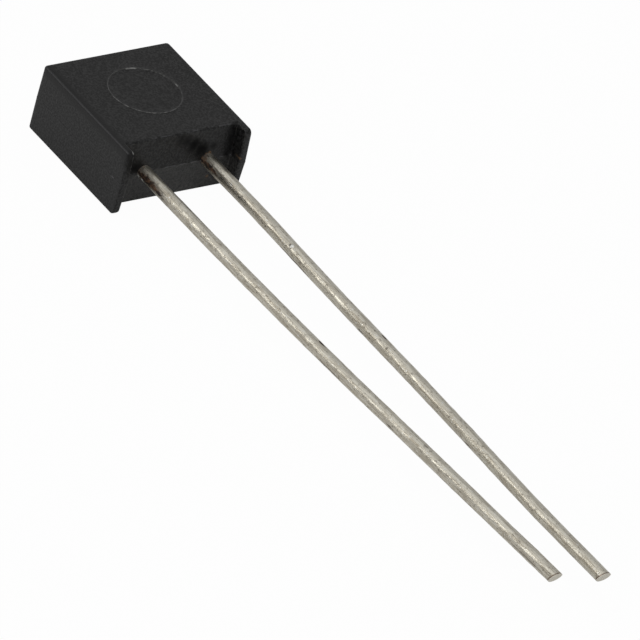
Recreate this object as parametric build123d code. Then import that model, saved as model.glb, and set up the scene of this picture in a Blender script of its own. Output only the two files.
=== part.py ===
from build123d import *
import math
import os

# Radial-lead foil resistor, in millimetres and degrees.
# A metal foil grid is cemented to a ceramic plate, joined by two ribbons to two tinned wire leads,
# bedded in a soft coat and moulded into a square epoxy case with two standoff ribs.
# It lies on one large face: Z is up, the leads run towards -Y, and X runs across them.
# The origin is the middle of that lower face.

# ---- moulded case ----
case_width = 7.80  # over the two side faces
case_height = 8.14  # from the standoff tips, which sit on the board, to the back face
case_thickness = 3.87  # over the two large faces
end_draft = 3.5  # each half of the lead end leans back from the parting plane
side_draft = 0.4  # the same on the sides and the back
edge_radius = 0.12  # round the large faces and the standoff tips
back_corner_radius = 0.22  # upright corners at the back
tip_nose_radius = 0.3  # standoff tips, where they meet the large faces
recess_depth = 0.79  # from the standoff tips to the lead-exit face, at the parting plane
standoff_width = 0.45  # each rib, at the two sides of the lead end
ejector_mark_radius = 1.95
ejector_mark_depth = 0.03
ejector_mark_x = 0.19
ejector_mark_height = 4.72  # its centre above the board

# ---- walls of epoxy round the coated element ----
side_wall = 0.65
back_wall = 0.75
lead_grip = 0.6  # round wire held in the epoxy behind the lead-exit face

# ---- leads ----
lead_diameter = 0.76
lead_spacing = 3.96
neck_length = 0.5  # where the round wire turns into its flattened end
paddle_thickness = 0.3
paddle_length = 0.8
press_clearance = 0.02  # the flats begin just outside the round wire
tip_bevel = 27.0  # slant of the cut end, longest on top
bend_share = 0.45  # share of the shorter run that each bend takes
left_lead_length = 35.16  # from the board face to the middle of the cut end
right_lead_length = 35.86
# Each lead's own bends, as shares of its length: how far along, and how far sideways.
left_bend_shares = [(0.17, 0.0006), (0.454, 0.008), (0.653, 0.0188), (1.0, 0.0367)]
right_bend_shares = [(0.11, 0.0011), (0.278, -0.0028), (0.585, -0.0031), (0.822, -0.0077), (1.0, -0.0046)]

# ---- resistance element ----
coat_margin = 0.2  # soft coat round the ceramic plate
coat_corner_radius = 0.3
element_gap = 0.25  # between the flattened lead ends and the ceramic plate
plate_thickness = 0.5
cement_thickness = 0.04
cement_margin = 0.1  # bare ceramic outside the cement
foil_thickness = 0.02
foil_margin = 0.2  # bare ceramic outside the foil
foil_line_width = 0.12
foil_legs = 26  # an even number brings both ends to the lead side
pad_length = 0.75
pad_width = 1.35
pad_gap = 0.12  # between the pads and the grid

# ---- terminal ribbons ----
ribbon_thickness = 0.06
ribbon_width = 0.8
ribbon_weld_length = 0.55
ribbon_relief = 0.3  # height of the slack bend that keeps strain off the foil
ribbon_bend_radius = 0.1
ribbon_cover = 0.15  # soft coat over the slack bend

# ---- worked out from the sizes above ----
trim_allowance = case_height / 2  # how far a shape runs past what trims it
seat_y = -case_height / 2
back_y = case_height / 2
parting_z = case_thickness / 2
lead_radius = lead_diameter / 2
paddle_width = math.pi * lead_radius**2 / paddle_thickness  # pressing keeps the wire's section

exit_y = seat_y + recess_depth
neck_y = exit_y + lead_grip
coat_front_y = neck_y + neck_length
paddle_end_y = coat_front_y + paddle_length
plate_front_y = paddle_end_y + element_gap
coat_back_y = back_y - back_wall
plate_back_y = coat_back_y - coat_margin
coat_width = case_width - 2 * side_wall
plate_width = coat_width - 2 * coat_margin

weld_z = parting_z + paddle_thickness / 2  # the ribbons lie level on the lead ends and the foil
cement_top_z = weld_z - foil_thickness
plate_top_z = cement_top_z - cement_thickness
plate_bottom_z = plate_top_z - plate_thickness
coat_bottom_z = plate_bottom_z - coat_margin
coat_top_z = weld_z + ribbon_relief + ribbon_thickness + ribbon_cover


def slab(x_min, x_max, y_min, y_max, z_min, z_max):
    """A rectangular block between two corners."""
    size = (x_max - x_min, y_max - y_min, z_max - z_min)
    return Pos(x_min, y_min, z_min) * Box(*size, align=(Align.MIN, Align.MIN, Align.MIN))


def mould_block():
    """The moulding's sides and back: one outline, drawn up and down from the parting plane with draft.

    It runs past the lead end, where a leaning end trims it.
    """
    outline = Pos(0, -trim_allowance / 2) * Rectangle(case_width, case_height + trim_allowance)
    outline = fillet(outline.vertices().group_by(Axis.Y)[-1], back_corner_radius)
    upper = extrude(Plane.XY.offset(parting_z) * outline, parting_z, taper=side_draft)
    return upper + mirror(upper, about=Plane.XY.offset(parting_z))


def leaning_end(front_y):
    """Everything behind a lead end that leans back both ways from the parting plane."""
    lean = (parting_z + trim_allowance) * math.tan(math.radians(end_draft))
    top = case_thickness + trim_allowance
    corners = [
        (back_y + trim_allowance, -trim_allowance),
        (back_y + trim_allowance, top),
        (front_y + lean, top),
        (front_y, parting_z),
        (front_y + lean, -trim_allowance),
    ]
    return extrude(Plane.YZ * Polygon(*corners, align=None), case_width, both=True)


def recess():
    """The hollow between the standoff ribs; it runs past the case all round."""
    between_ribs = Box(case_width - 2 * standoff_width, 4 * recess_depth, 2 * case_thickness)
    return Pos(0, exit_y, parting_z) * between_ribs - leaning_end(exit_y)


def is_tip_edge(edge):
    """Whether an edge of the case runs up a standoff tip."""
    rise = abs((edge @ 1 - edge @ 0).Z)
    return rise > tip_nose_radius and edge.center().Y < exit_y - recess_depth / 2


def case_body():
    """The moulding: a drafted block with a recess at the lead end, its large faces rounded off."""
    body = (mould_block() & leaning_end(seat_y)) - recess()
    flat_faces = body.faces().group_by(Axis.Z)
    nose_edges = (flat_faces[0] + flat_faces[-1]).edges().filter_by(Axis.X)
    nose_edges = [edge for edge in nose_edges if edge.center().Y < exit_y]
    body = fillet(nose_edges, tip_nose_radius)
    flat_faces = body.faces().group_by(Axis.Z)
    tip_edges = [edge for edge in body.edges() if is_tip_edge(edge)]
    body = fillet((flat_faces[0] + flat_faces[-1]).edges() + tip_edges, edge_radius)
    mark = Cylinder(ejector_mark_radius, 2 * ejector_mark_depth)
    return body - Pos(ejector_mark_x, seat_y + ejector_mark_height, case_thickness) * mark


def coat_body():
    """The soft coat's outer form, before the element is taken out of it."""
    outline = Rectangle(coat_width, coat_back_y - coat_front_y)
    outline = fillet(outline.vertices(), coat_corner_radius)
    middle_y = (coat_front_y + coat_back_y) / 2
    return Pos(0, middle_y, coat_bottom_z) * extrude(outline, coat_top_z - coat_bottom_z)


def lead_path(root_x, length, bend_shares):
    """A lead's centre line: straight runs joined by arcs as wide as the runs beside them allow.

    The epoxy holds the first run square to the lead-exit face.
    """
    points = [Vector(root_x, y, parting_z) for y in (neck_y, exit_y)]
    for along, aside in bend_shares:
        points.append(Vector(root_x + length * aside, seat_y - length * along, parting_z))
    last_run = (points[-1] - points[-2]).normalized()
    points[-1] = points[-1] + last_run * lead_diameter
    radii = []
    for before, corner, after in zip(points, points[1:], points[2:]):
        turn = math.radians((corner - before).get_angle(after - corner))
        shorter = min((corner - before).length, (after - corner).length)
        radii.append(bend_share * shorter / math.tan(turn / 2))
    return FilletPolyline(*points, radius=radii)


def flattened_end():
    """The pressed inner end of a lead: a round bar that swells as two flats close in on it."""
    along = Plane((0, neck_y, parting_z), x_dir=(1, 0, 0), z_dir=(0, 1, 0))
    grows = Align.CENTER, Align.CENTER, Align.MIN
    swell = along * Cone(lead_radius, paddle_width / 2, neck_length, align=grows)
    bar = along.offset(neck_length) * Cylinder(paddle_width / 2, paddle_length, align=grows)
    half_profile = [
        (neck_y, lead_radius + press_clearance),
        (coat_front_y, paddle_thickness / 2),
        (paddle_end_y, paddle_thickness / 2),
    ]
    below = [(y, -height) for y, height in reversed(half_profile)]
    pressed = Pos(0, 0, parting_z) * extrude(
        Plane.YZ * Polygon(*half_profile, *below, align=None), paddle_width, both=True
    )
    return (swell + bar) & pressed


def lead(root_x, length, bend_shares):
    """A tinned wire with a flattened inner end and a slanted cut at its tip."""
    path = lead_path(root_x, length, bend_shares)
    wire = sweep(Plane(path @ 0, z_dir=path % 0) * Circle(lead_radius), path)
    cut_at = Vector(root_x + length * bend_shares[-1][1], seat_y - length, parting_z)
    slant = math.radians(tip_bevel)
    cut = Plane(cut_at, x_dir=(1, 0, 0), z_dir=(0, -math.cos(slant), -math.sin(slant)))
    wire = split(wire, bisect_by=cut, keep=Keep.BOTTOM)
    return wire + Pos(root_x, 0, 0) * flattened_end()


def ribbon(root_x):
    """A flat ribbon from lead end to foil pad, with one slack bend over the gap."""
    level = weld_z + ribbon_thickness / 2
    path = FilletPolyline(
        (paddle_end_y - ribbon_weld_length, level),
        (paddle_end_y - ribbon_thickness, level),
        ((paddle_end_y + plate_front_y) / 2, level + ribbon_relief),
        (plate_front_y + foil_margin, level),
        (plate_front_y + foil_margin + ribbon_weld_length, level),
        radius=ribbon_bend_radius,
    )
    profile = Plane.YZ * trace(path, ribbon_thickness)
    return Pos(root_x, 0, 0) * extrude(profile, ribbon_width / 2, both=True)


def foil():
    """The etched grid: legs joined end to end in a serpentine, from one pad to the other."""
    half = plate_width / 2 - foil_margin
    pad_front_y = plate_front_y + foil_margin
    grid_front_y = pad_front_y + pad_length + pad_gap
    grid_back_y = plate_back_y - foil_margin
    pitch = (2 * half - foil_line_width) / (foil_legs - 1)
    first_x = -half + foil_line_width / 2
    strips = []
    for leg in range(foil_legs):
        front_y = pad_front_y if leg in (0, foil_legs - 1) else grid_front_y
        middle = (first_x + leg * pitch, (front_y + grid_back_y) / 2)
        strips.append(Pos(*middle) * Rectangle(foil_line_width, grid_back_y - front_y))
    for turn in range(foil_legs - 1):
        end_y = grid_back_y - foil_line_width / 2 if turn % 2 == 0 else grid_front_y + foil_line_width / 2
        middle = (first_x + (turn + 0.5) * pitch, end_y)
        strips.append(Pos(*middle) * Rectangle(pitch + foil_line_width, foil_line_width))
    for side in (-1, 1):
        middle = (side * (half - pad_width / 2), pad_front_y + pad_length / 2)
        strips.append(Pos(*middle) * Rectangle(pad_width, pad_length))
    grid = strips[0].fuse(*strips[1:])
    return Pos(0, 0, cement_top_z) * extrude(Sketch() + grid, foil_thickness)


def build_nodes():
    """Every piece of the resistor by name."""
    half_plate = plate_width / 2
    half_cement = half_plate - cement_margin
    leads = {
        "lead_left": lead(-lead_spacing / 2, left_lead_length, left_bend_shares),
        "lead_right": lead(lead_spacing / 2, right_lead_length, right_bend_shares),
    }
    element = {
        "ceramic_plate": slab(
            -half_plate, half_plate, plate_front_y, plate_back_y, plate_bottom_z, plate_top_z
        ),
        "foil_cement": slab(
            -half_cement,
            half_cement,
            plate_front_y + cement_margin,
            plate_back_y - cement_margin,
            plate_top_z,
            cement_top_z,
        ),
        "resistance_foil": foil(),
        "terminal_ribbon_left": ribbon(-lead_spacing / 2),
        "terminal_ribbon_right": ribbon(lead_spacing / 2),
    }
    coat_block = coat_body()
    coat = coat_block
    for piece in [*element.values(), *leads.values()]:
        coat = coat - piece
    case = case_body() - coat_block
    for wire in leads.values():
        case = case - wire
    return {"moulded_case": case, "cushion_coat": coat, **element, **leads}


os.makedirs("parts", exist_ok=True)
for name, shape in build_nodes().items():
    export_step(shape, f"parts/{name}.step")
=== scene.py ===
"""A radial-lead foil resistor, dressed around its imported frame.

The part lies on one large face with its two wire leads running towards -Y. Sizes are in millimetres
and degrees unless a docstring says otherwise, and become metres when a mesh is made.
"""

from __future__ import annotations

import logging
import math
from dataclasses import dataclass
from enum import Enum
from typing import NamedTuple

import bmesh
import bpy
import numpy as np
from mathutils import Matrix, Vector, geometry, noise


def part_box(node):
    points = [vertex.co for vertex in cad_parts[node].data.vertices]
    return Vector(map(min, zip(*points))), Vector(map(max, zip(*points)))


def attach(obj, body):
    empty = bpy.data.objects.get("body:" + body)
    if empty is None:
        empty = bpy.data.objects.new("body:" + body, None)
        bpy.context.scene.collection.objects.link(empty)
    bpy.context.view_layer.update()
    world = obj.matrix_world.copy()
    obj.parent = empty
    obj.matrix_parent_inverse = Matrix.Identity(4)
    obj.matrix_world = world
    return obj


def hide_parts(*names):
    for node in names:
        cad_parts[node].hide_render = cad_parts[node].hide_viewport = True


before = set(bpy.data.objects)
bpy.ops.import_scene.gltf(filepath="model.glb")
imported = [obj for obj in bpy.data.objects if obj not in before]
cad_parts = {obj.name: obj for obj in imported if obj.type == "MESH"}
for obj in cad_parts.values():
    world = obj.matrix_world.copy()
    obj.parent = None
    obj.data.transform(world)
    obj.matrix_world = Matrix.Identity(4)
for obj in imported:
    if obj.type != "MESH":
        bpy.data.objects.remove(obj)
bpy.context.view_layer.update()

MM = 0.001
SHARP_ANGLE = 36.0
WIRE_PLACE = "wire_place"
WIRE_RADIUS = 0.38
VEIL_BLACK = (0.002, 0.002, 0.002)
Triple = tuple[float, float, float]
log = logging.getLogger("foil_resistor")


# ---------------------------------------------------------------- shader helpers


class Link:
    """An output socket that adds Math nodes when it is used in an expression."""

    def __init__(self, sheet: NodeSheet, socket: bpy.types.NodeSocket) -> None:
        """Wraps a socket of a sheet's node tree."""
        self.sheet = sheet
        self.socket = socket

    def _maths(self, operation: str, *terms: Link | float) -> Link:
        """Adds one Math node over the given terms."""
        return self.sheet.node("ShaderNodeMath", {"operation": operation}, dict(enumerate(terms)))

    def __add__(self, other: Link | float) -> Link:
        """The sum of two values."""
        return self._maths("ADD", self, other)

    __radd__ = __add__

    def __sub__(self, other: Link | float) -> Link:
        """This value less another."""
        return self._maths("SUBTRACT", self, other)

    def __rsub__(self, other: Link | float) -> Link:
        """Another value less this one."""
        return self._maths("SUBTRACT", other, self)

    def __mul__(self, other: Link | float) -> Link:
        """The product of two values."""
        return self._maths("MULTIPLY", self, other)

    __rmul__ = __mul__

    def __abs__(self) -> Link:
        """The value without its sign."""
        return self._maths("ABSOLUTE", self)

    def root(self) -> Link:
        """The square root."""
        return self._maths("SQRT", self)

    def highest(self, other: Link | float) -> Link:
        """The larger of two values."""
        return self._maths("MAXIMUM", self, other)

    def ramp(self, low: float, high: float) -> Link:
        """Rises smoothly from 0 at low to 1 at high.

        Args:
            low: The value that gives 0. It may be above high, which turns the ramp round.
            high: The value that gives 1.

        Returns:
            The ramped value, held between 0 and 1.
        """
        start, end, first, last = (low, high, 0.0, 1.0) if low < high else (high, low, 1.0, 0.0)
        settings = {"interpolation_type": "SMOOTHSTEP"}
        inputs = {0: self, 1: start, 2: end, 3: first, 4: last}
        return self.sheet.node("ShaderNodeMapRange", settings, inputs)


class Axes(NamedTuple):
    """The x, y and z of a point, in millimetres."""

    x: Link
    y: Link
    z: Link


class NodeSheet:
    """The node tree of one material or world, with a maker for any node."""

    def __init__(self, owner: bpy.types.Material | bpy.types.World) -> None:
        """Empties the owner's tree.

        Args:
            owner: The material or world that the nodes are for.
        """
        owner.use_nodes = True
        self.owner = owner
        self.tree = owner.node_tree
        self.tree.nodes.clear()

    @classmethod
    def for_material(cls, name: str) -> NodeSheet:
        """Starts a new material."""
        return cls(bpy.data.materials.new(name))

    def node(
        self,
        kind: str,
        settings: dict[str, object] | None = None,
        inputs: dict[int | str, object] | None = None,
        output: int | str = 0,
    ) -> Link:
        """Adds a node.

        Args:
            kind: The node's type.
            settings: The node's own properties, set before its sockets.
            inputs: Values or links for its sockets, by name or number.
            output: The socket that is handed back.

        Returns:
            The node's output as a link.
        """
        made = self.tree.nodes.new(kind)
        for key, value in (settings or {}).items():
            setattr(made, key, value)
        for key, value in (inputs or {}).items():
            self.feed(made.inputs[key], value)
        return Link(self, made.outputs[output]) if made.outputs else Link(self, None)

    def feed(self, socket: bpy.types.NodeSocket, value: object) -> None:
        """Links a socket or sets its value.

        Args:
            socket: The input socket.
            value: A link, a number, a vector or a colour.
        """
        if isinstance(value, Link):
            self.tree.links.new(value.socket, socket)
        elif socket.type == "RGBA":
            socket.default_value = (*value, 1.0) if len(value) == 3 else value
        else:
            socket.default_value = value

    def place(self) -> Link:
        """The point on the part, in millimetres."""
        point = self.node("ShaderNodeTexCoord", output="Object")
        return self.node("ShaderNodeVectorMath", {"operation": "SCALE"}, {0: point, "Scale": 1 / MM})

    def wire_place(self) -> Link:
        """The point on a wire as if it ran straight along Y, in millimetres from the board."""
        return self.node("ShaderNodeAttribute", {"attribute_name": WIRE_PLACE}, output="Vector")

    def spot(self, point: Link, centre: Triple, reach: Triple) -> Link:
        """How far a point lies from a centre.

        Args:
            point: The point, in millimetres.
            centre: The middle of the spot.
            reach: How far the spot goes each way.

        Returns:
            The distance, which is 1 at the spot's edge.
        """
        off = self.node("ShaderNodeVectorMath", {"operation": "SUBTRACT"}, {0: point, 1: centre})
        shares = self.node("ShaderNodeVectorMath", {"operation": "DIVIDE"}, {0: off, 1: reach})
        return self.node("ShaderNodeVectorMath", {"operation": "LENGTH"}, {0: shares}, output="Value")

    def axes(self, point: Link) -> Axes:
        """Takes a point apart.

        Args:
            point: The point.

        Returns:
            Its x, y and z.
        """
        split = self.node("ShaderNodeSeparateXYZ", inputs={0: point})
        outputs = split.socket.node.outputs
        return Axes(*(Link(self, socket) for socket in outputs))

    def vector(self, x: Link | float, y: Link | float, z: Link | float) -> Link:
        """A vector from three values."""
        return self.node("ShaderNodeCombineXYZ", inputs={0: x, 1: y, 2: z})

    def grain(self, point: Link, scale: float, detail: float = 2.0, roughness: float = 0.5) -> Link:
        """Noise over a point, from 0 to 1 about a middle of one half.

        Args:
            point: Where the noise is read, in millimetres.
            scale: How many grains there are in a millimetre.
            detail: How many finer layers are added.
            roughness: How strong the finer layers are.

        Returns:
            The noise value.
        """
        inputs = {"Vector": point, "Scale": scale, "Detail": detail, "Roughness": roughness}
        return self.node("ShaderNodeTexNoise", {"noise_dimensions": "3D"}, inputs)

    def mix(self, share: Link | float, first: Link | Triple, second: Link | Triple) -> Link:
        """A colour between two others."""
        settings = {"data_type": "RGBA", "clamp_factor": True}
        return self.node("ShaderNodeMix", settings, {0: share, 6: first, 7: second}, output=2)

    def scaled(self, colour: Link | Triple, factor: float) -> Link:
        """A colour made lighter or darker."""
        return self.node("ShaderNodeVectorMath", {"operation": "SCALE"}, {0: colour, "Scale": factor})

    def bump(self, height: Link, depth: float, strength: float = 1.0) -> Link:
        """A normal from a height.

        Args:
            height: The height, from 0 to 1.
            depth: What a height of 1 stands for, in millimetres.
            strength: How much of it shows.

        Returns:
            The bent normal.
        """
        inputs = {"Height": height, "Distance": depth * MM, "Strength": strength}
        return self.node("ShaderNodeBump", inputs=inputs)

    def surface(self, veil: Link | None = None, **sockets: object) -> bpy.types.Material:
        """Adds the surface shader and the output.

        Args:
            veil: How much of a matte black veil lies over the surface.
            sockets: Values or links by socket name, with underscores for spaces.

        Returns:
            The finished material.
        """
        named = {key.replace("_", " "): value for key, value in sockets.items()}
        shader = self.node("ShaderNodeBsdfPrincipled", inputs=named)
        if veil is not None:
            matte = self.node("ShaderNodeBsdfDiffuse", inputs={"Color": VEIL_BLACK})
            shader = self.node("ShaderNodeMixShader", inputs={0: veil, 1: shader, 2: matte})
        self.node("ShaderNodeOutputMaterial", inputs={0: shader})
        return self.owner


def tint(base: Triple, factor: float) -> Triple:
    """A colour made lighter or darker."""
    return tuple(channel * factor for channel in base)


# ---------------------------------------------------------------- marks and finishes


@dataclass(frozen=True)
class Blot:
    """A soft-edged spot of colour on a surface, at full strength out to a share of its reach."""

    centre: Triple
    reach: Triple
    strength: float = 1.0
    inside: float = 0.55

    def share(self, sheet: NodeSheet, point: Link, ragged: Link) -> Link:
        """How much of the spot shows, with an edge torn by noise.

        Args:
            sheet: The sheet that the nodes go on.
            point: The point on the surface.
            ragged: The noise that tears the edge.

        Returns:
            The share of the spot's colour.
        """
        tear = 0.5 + 2.0 * self.inside
        distance = sheet.spot(point, self.centre, self.reach) + (ragged - 0.5) * tear
        return distance.ramp(1.15, self.inside) * self.strength


def blots(sheet: NodeSheet, point: Link, ragged: Link, spots: tuple[Blot, ...]) -> Link:
    """Lays several spots over each other.

    Args:
        sheet: The sheet that the nodes go on.
        point: The point on the surface.
        ragged: The noise that tears the spots' edges.
        spots: The spots.

    Returns:
        The strongest of their shares.
    """
    first, *others = (spot.share(sheet, point, ragged) for spot in spots)
    for share in others:
        first = first.highest(share)
    return first


def on_wire(along: float, turn: float, length: float, width: float, strength: float = 1.0) -> Blot:
    """A mark on the skin of a wire.

    Args:
        along: How far it is from the board face, in millimetres.
        turn: How far round the wire it is, from the +X side towards the top.
        length: How far it reaches along the wire each way.
        width: How far it reaches round the wire each way.
        strength: How much of it shows.

    Returns:
        The mark, in the wire's own straightened space.
    """
    angle = math.radians(turn)
    centre = (WIRE_RADIUS * math.cos(angle), along, WIRE_RADIUS * math.sin(angle))
    return Blot(centre, (width, length, width), strength)


def on_exit_face(
    x: float, z: float, reach: float, y: float = -3.24, strength: float = 1.0, inside: float = 0.55
) -> Blot:
    """A spot on the face that the leads come out of.

    Args:
        x: Its place across the part.
        z: Its height.
        reach: How far it goes each way.
        y: Its place along the part, for a spot on a rib's tip.
        strength: How much of it shows.
        inside: How far out, as a share of its reach, it is still at its full strength.

    Returns:
        The spot.
    """
    return Blot((x, y, z), (reach, 0.5, reach), strength, inside)


# Painted shade: dark patches on the exit face and the ribs, where the leads' dark reflections and the ribs'
# shadows fall.
PAINTED_SHADE_SPOTS = (
    on_exit_face(0.0, 3.5, 0.5, strength=0.5, inside=0.0),
    on_exit_face(0.45, 3.3, 0.5, strength=0.7, inside=0.0),
    on_exit_face(0.95, 3.0, 0.55, strength=1.0, inside=0.1),
    on_exit_face(1.45, 2.65, 0.6, inside=0.1),
    on_exit_face(2.2, 2.7, 0.35, strength=0.5, inside=0.0),
    on_exit_face(-2.6, 2.3, 0.6, strength=0.8, inside=0.0),
    on_exit_face(-3.1, 2.7, 0.6, strength=0.8, inside=0.0),
    Blot((-3.6, -3.95, 3.2), (0.4, 0.7, 0.65), 0.6, 0.0),
    Blot((3.3, -3.24, 2.9), (0.45, 0.3, 1.3), 0.65, 0.0),
)
FLUX_FLAKES = (
    on_exit_face(1.69, 2.08, 0.13),
    on_exit_face(1.86, 2.26, 0.11),
    on_exit_face(2.06, 2.33, 0.1),
    on_exit_face(2.52, 1.5, 0.1),
    on_exit_face(2.88, 1.05, 0.12),
    on_exit_face(2.95, 0.6, 0.13),
    on_exit_face(2.35, 0.75, 0.09),
    on_exit_face(3.5, 2.2, 0.07, y=-4.01, strength=0.8),
)
# Painted highlights: bright specks where the rib tips' edges catch the light.
RIB_TIP_HIGHLIGHTS = (
    Blot((-3.48, -3.85, 3.78), (0.07, 0.5, 0.07)),
    Blot((-3.47, -4.0, 3.45), (0.06, 0.5, 0.16), 0.5),
    Blot((-3.47, -4.0, 3.05), (0.06, 0.5, 0.14), 0.6),
    Blot((-3.47, -4.05, 1.3), (0.05, 0.5, 0.8), 0.2),
)


@dataclass(frozen=True)
class MouldedEpoxy:
    """Charcoal moulding compound: satin, fine-grained, with pale broken lines along its flash. Painted
    highlights lie along two edges, on the rib tips and on the ejector burr. Painted shade and dark
    reflections lie near the leads, the ribs and the top's -X edge. The recess's lower half carries a painted
    reflection of the floor.

    The first seven fields are the moulding's own sizes, which tell where each line and band lies.
    """

    half_width: float
    middle_z: float
    exit_y: float
    top_z: float
    mark_centre: tuple[float, float]
    mark_radius: float
    recess_half: float
    colour: Triple = (0.0105, 0.0105, 0.0105)
    pit: Triple = (0.0, 0.0, 0.0)
    # A lighter colour for the recess's lower half: a painted reflection of the lit floor.
    reflected_floor: Triple = (0.032, 0.032, 0.031)
    # Pale for the parting line and for the painted highlights along the edges.
    pale: Triple = (0.10, 0.10, 0.105)
    # White for the painted highlights on the rib tips and the ejector burr.
    white: Triple = (0.42, 0.42, 0.41)
    # Near-black for painted shade and painted dark reflections.
    painted_shade_colour: Triple = (0.001, 0.001, 0.001)
    flux: Triple = (0.12, 0.075, 0.043)
    grains: float = 9.0
    grain_contrast: float = 13.0
    under_contrast: float = 4.0
    headroom: float = 2.5
    roughness: float = 0.42
    relief: float = 0.02
    sheen: float = 0.33
    painted_shade_veil: float = 0.55
    ring_strength: float = 0.65
    ring_least: float = 0.08
    recess_rim_highlight_strength: float = 0.4
    top_edge_highlight_strength: float = 0.26
    edge_dark_reflection_strength: float = 0.85

    def seam(self, place: Axes, breaks: Link) -> Link:
        """The parting line across the lead-exit face.

        Args:
            place: The point on the moulding.
            breaks: The noise that breaks the line.

        Returns:
            How much of the line shows.
        """
        behind = place.y.ramp(self.exit_y + 0.2, self.exit_y + 0.05)
        in_recess = behind * place.y.ramp(self.exit_y - 0.1, self.exit_y - 0.02)
        return abs(place.z - self.middle_z).ramp(0.03, 0.012) * in_recess * breaks.ramp(0.42, 0.6)

    def ring(self, place: Axes, breaks: Link) -> Link:
        """The burr round the ejector mark, which catches the light on two opposite sides.

        Args:
            place: The point on the moulding.
            breaks: The noise that breaks the burr's glint.

        Returns:
            How much of the burr shows.
        """
        off_x = place.x - self.mark_centre[0]
        off_y = place.y - self.mark_centre[1]
        off_ring = abs((off_x * off_x + off_y * off_y).root() - self.mark_radius)
        on_top = place.z.ramp(self.top_z - 0.2, self.top_z - 0.1)
        sideways = abs(off_x + off_y) * (math.sqrt(0.5) / self.mark_radius)
        glint = breaks.ramp(0.42, 0.62) * sideways * sideways
        return off_ring.ramp(0.05, 0.015) * on_top * (self.ring_least + glint * self.ring_strength)

    def recess_rim_highlight(self, place: Axes, breaks: Link) -> Link:
        """Painted highlight along the rounded upper edge of the recess.

        Args:
            place: The point on the moulding.
            breaks: The noise that breaks the line.

        Returns:
            How much of the painted highlight shows.
        """
        band = abs(place.z - (self.top_z - 0.035)).ramp(0.03, 0.01)
        between = abs(place.x).ramp(self.recess_half, self.recess_half - 0.1)
        near = place.y.ramp(self.exit_y + 0.5, self.exit_y + 0.3)
        return band * between * near * breaks.ramp(0.45, 0.6) * self.recess_rim_highlight_strength

    def from_edge(self, place: Axes) -> Link:
        """How far a point on the top or on the -X side is from the edge between them."""
        return abs(place.x + place.z - (self.top_z - self.half_width))

    def top_edge_highlight(self, place: Axes) -> Link:
        """Painted highlight: a pale line along that edge, where its rounding mirrors the key lamp."""
        on_top = place.z.ramp(self.top_z - 0.12, self.top_z - 0.05)
        return self.from_edge(place).ramp(0.15, 0.03) * on_top * self.top_edge_highlight_strength

    def edge_dark_reflection(self, place: Axes) -> Link:
        """Painted dark reflection: a darker band on both sides of it, where the rounded edge mirrors dark
        surroundings.
        """
        high = place.z.ramp(self.top_z - 0.65, self.top_z - 0.5)
        return self.from_edge(place).ramp(0.62, 0.2) * high * self.edge_dark_reflection_strength

    def lower_recess(self, place: Axes) -> Link:
        """The lower half of the recess, made lighter than the rest as a painted reflection of the lit floor
        in front of it.

        Args:
            place: The point on the moulding.

        Returns:
            1 there and 0 elsewhere.
        """
        in_recess = place.y.ramp(self.exit_y + 0.2, self.exit_y + 0.13)
        between = abs(place.x).ramp(self.recess_half + 0.05, self.recess_half - 0.01)
        return in_recess * between * place.z.ramp(self.middle_z + 0.01, self.middle_z - 0.01)

    def material(self) -> bpy.types.Material:
        """Builds the material.

        Returns:
            The finished material.
        """
        sheet = NodeSheet.for_material("moulded_epoxy")
        point = sheet.place()
        place = sheet.axes(point)
        fine = sheet.grain(point, self.grains, 2.0, 0.7)
        cloud = sheet.grain(point, 1.6, 2.0)
        breaks = sheet.grain(point, 2.4, 2.0, 0.6)
        ragged = sheet.grain(point, 5.0, 3.0, 0.6)
        # Painted reflection: the recess's lower half is lighter, standing for the lit floor that it mirrors.
        reflected_floor_share = self.lower_recess(place)
        contrast = self.grain_contrast - reflected_floor_share * (self.grain_contrast - self.under_contrast)
        tone = (fine - 0.5) * contrast + (cloud - 0.5) * 0.5 + 1.0
        # The shade is made too light and the tone cut to match, so that the grain can go past its middle.
        shade = sheet.scaled(sheet.mix(reflected_floor_share, self.colour, self.reflected_floor), self.headroom)
        base = sheet.mix(tone * (1 / self.headroom), self.pit, shade)
        # Painted shade and painted dark reflections: the spots near the leads and ribs and the bands along
        # the top's -X edge take the near-black colour.
        painted_shade_share = blots(sheet, point, ragged, PAINTED_SHADE_SPOTS)
        base = sheet.mix(painted_shade_share.highest(self.edge_dark_reflection(place)), base, self.painted_shade_colour)
        stained = blots(sheet, point, ragged, FLUX_FLAKES)
        base = sheet.mix(stained, base, self.flux)
        # The parting line, and painted highlights along the recess's upper edge and the top's -X edge, take
        # the pale colour.
        lines = self.seam(place, breaks).highest(self.recess_rim_highlight(place, breaks)).highest(self.top_edge_highlight(place))
        colour = sheet.mix(lines, base, self.pale)
        # Painted highlights: the rib tips' specks and the glint on the ejector burr take the white colour.
        painted_highlights = blots(sheet, point, ragged, RIB_TIP_HIGHLIGHTS).highest(self.ring(place, breaks))
        colour = sheet.mix(painted_highlights, colour, self.white)
        return sheet.surface(
            # A matte black veil over the painted shade spots darkens them further.
            veil=painted_shade_share * self.painted_shade_veil,
            Base_Color=colour,
            Roughness=self.roughness + (fine - 0.5) * 0.5 + stained * 0.2 + painted_shade_share * 0.4,
            Normal=sheet.bump(fine * 0.8 + cloud * 0.2, self.relief, 0.5),
            Specular_IOR_Level=self.sheen,
        )


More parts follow.
